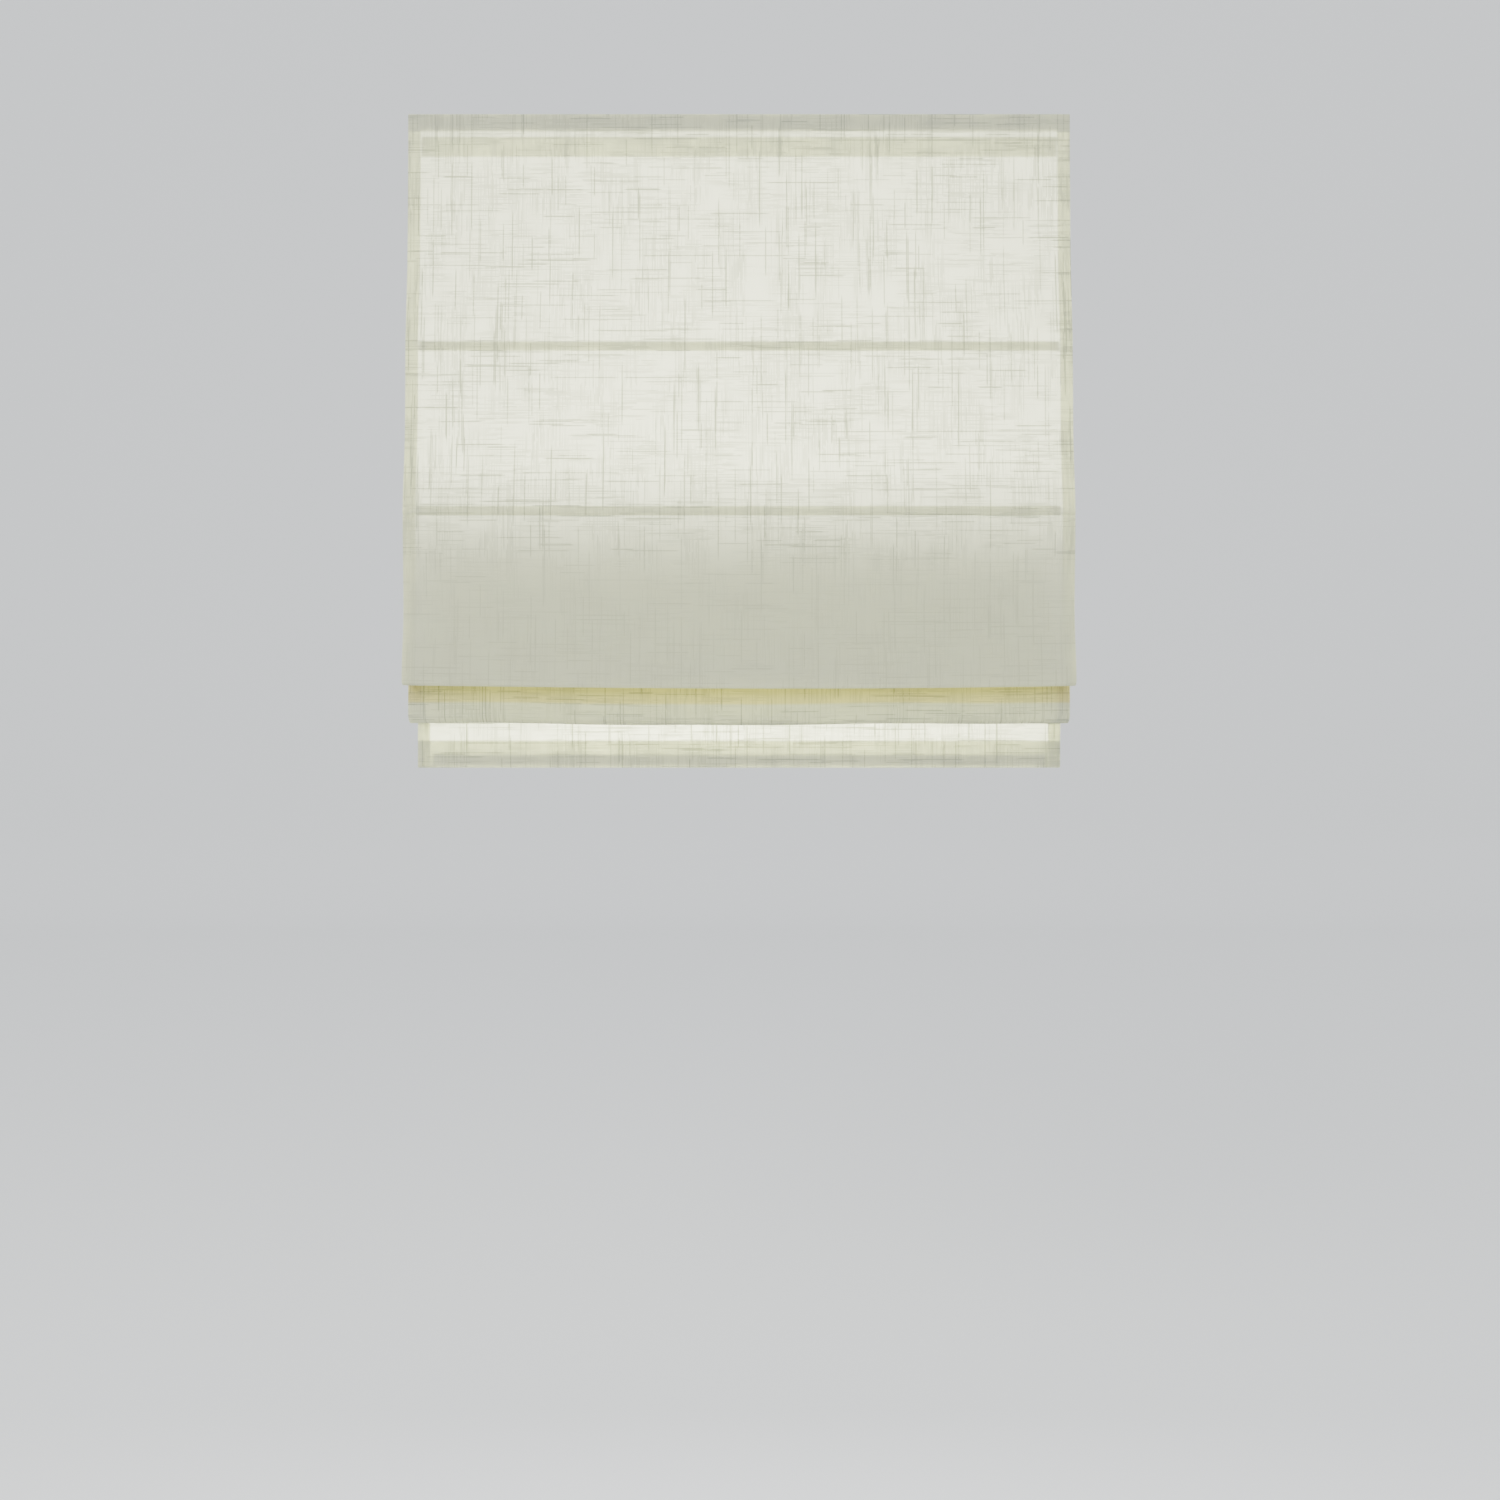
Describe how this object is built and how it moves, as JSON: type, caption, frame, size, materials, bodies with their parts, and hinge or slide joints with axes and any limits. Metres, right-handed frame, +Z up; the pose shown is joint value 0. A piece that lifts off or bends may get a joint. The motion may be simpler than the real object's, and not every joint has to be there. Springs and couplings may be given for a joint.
{
  "type": "roman blind",
  "caption": "Cordless battened roman blind, part raised: linen-look cloth with hanging folds below a slim headrail holding a spring motor and lift cords.",
  "frame": {"origin": "centre of the four bracket screw holes, on the plane of the window head that the brackets are screwed to", "axes": "+Z up out of the bracket plates, X along the headrail, -Y towards the room"},
  "size_m": [0.787, 0.0845, 0.781],
  "materials": {
    "linen": "woven linen-look polyester with slubs, off-white",
    "tape": "hook and loop tape",
    "cord": "braided polyester cord",
    "rail_paint": "satin white baked paint",
    "bar_paint": "satin white baked paint",
    "zinc_steel": "zinc-plated steel",
    "bright_steel": "drawn steel",
    "spring_steel": "blue-grey rolled spring steel",
    "white_plastic": "moulded white plastic",
    "grey_plastic": "moulded grey plastic",
    "gear_plastic": "moulded acetal, natural",
    "clear_plastic": "milky moulded plastic",
    "rod": "pultruded glass-fibre rod"
  },
  "bodies": {
    "headrail": {"headrail_channel": "rail_paint", "end_cap_left": "white_plastic", "end_cap_right": "white_plastic", "bracket_plate_left": "zinc_steel", "bracket_plate_right": "zinc_steel", "lever_rivets": "zinc_steel", "hook_tape": "tape", "loop_tape": "tape", "motor_case": "grey_plastic", "motor_lid": "grey_plastic", "motor_screws": "zinc_steel", "axle_pins": "bright_steel", "drive_spring": "spring_steel", "lift_cord_left": "cord", "lift_cord_right": "cord", "cord_guide_left": "white_plastic", "cord_guide_right": "white_plastic", "pulley_pins": "bright_steel", "batten_1": "rod", "batten_2": "rod", "cloth_front": "linen"},
    "fold_one": {"batten_3": "rod", "cloth_drop": "linen", "cloth_fold_one": "linen"},
    "fold_two": {"batten_4": "rod", "batten_5": "rod", "cloth_rise_one": "linen", "cloth_fold_two": "linen", "upper_rings": "clear_plastic"},
    "bottom": {"batten_6": "rod", "cloth_rise_two": "linen", "cloth_bottom": "linen", "bottom_bar": "bar_paint", "bar_caps": "white_plastic", "lower_rings": "clear_plastic", "cord_stops": "clear_plastic"},
    "lever_left": {"bracket_lever_left": "zinc_steel"},
    "lever_right": {"bracket_lever_right": "zinc_steel"},
    "storage": {"storage_drum": "gear_plastic"},
    "output": {"output_drum": "gear_plastic"},
    "spool_left": {"cord_spool_left": "gear_plastic", "cord_winding_left": "cord"},
    "spool_right": {"cord_spool_right": "gear_plastic", "cord_winding_right": "cord"},
    "pulley_left": {"guide_pulley_left": "gear_plastic"},
    "pulley_right": {"guide_pulley_right": "gear_plastic"}
  },
  "joints": [
    {"name": "raise_folds", "type": "slide", "parent": "headrail", "child": "fold_one", "axis": [0, 0.035, 0.9994], "range_m": [0, 0.385], "deforming": ["cloth_drop", "lift_cord_left", "lift_cord_right", "drive_spring"]},
    {"name": "lower_fold_one", "type": "slide", "parent": "fold_one", "child": "fold_two", "axis": [0, 0, 1], "range_m": [-0.391, 0], "deforming": ["cloth_rise_one"]},
    {"name": "lower_fold_two", "type": "slide", "parent": "fold_two", "child": "bottom", "axis": [0, 0, 1], "range_m": [-0.466, 0], "deforming": ["cloth_rise_two"]},
    {"name": "lever_left_swivel", "type": "hinge", "parent": "headrail", "child": "lever_left", "pos_m": [-0.315, 0.003, -0.0026], "axis": [0, 0, 1], "range_deg": [-90, 0]},
    {"name": "lever_right_swivel", "type": "hinge", "parent": "headrail", "child": "lever_right", "pos_m": [0.315, 0.003, -0.0026], "axis": [0, 0, 1], "range_deg": [0, 90]},
    {"name": "spool_left_spin", "type": "hinge", "parent": "headrail", "child": "spool_left", "pos_m": [-0.015, -0.004, -0.014], "axis": [0, 0, 1], "range_deg": [-2042.49, 0]},
    {"name": "spool_right_spin", "type": "hinge", "parent": "headrail", "child": "spool_right", "pos_m": [0.015, -0.004, -0.014], "axis": [0, 0, 1], "range_deg": [0, 2042.49]},
    {"name": "output_spin", "type": "hinge", "parent": "headrail", "child": "output", "pos_m": [-0.045, -0.004, -0.014], "axis": [0, 0, 1], "range_deg": [0, 2042.49]},
    {"name": "storage_spin", "type": "hinge", "parent": "headrail", "child": "storage", "pos_m": [-0.077, -0.004, -0.014], "axis": [0, 0, 1], "range_deg": [-2042.49, 0]},
    {"name": "pulley_left_spin", "type": "hinge", "parent": "headrail", "child": "pulley_left", "pos_m": [-0.2454, 0.02015, -0.0162], "axis": [0, 1, 0], "range_deg": [0, 4795.41]},
    {"name": "pulley_right_spin", "type": "hinge", "parent": "headrail", "child": "pulley_right", "pos_m": [0.2454, 0.02015, -0.0162], "axis": [0, 1, 0], "range_deg": [-4795.41, 0]}
  ],
  "couplings": [
    {"joint": "spool_left_spin", "follows": "raise_folds", "rad_per_m": -92.592},
    {"joint": "spool_right_spin", "follows": "raise_folds", "rad_per_m": 92.592},
    {"joint": "output_spin", "follows": "raise_folds", "rad_per_m": 92.592},
    {"joint": "storage_spin", "follows": "raise_folds", "rad_per_m": -92.592},
    {"joint": "pulley_left_spin", "follows": "raise_folds", "rad_per_m": 217.38},
    {"joint": "pulley_right_spin", "follows": "raise_folds", "rad_per_m": -217.38}
  ]
}
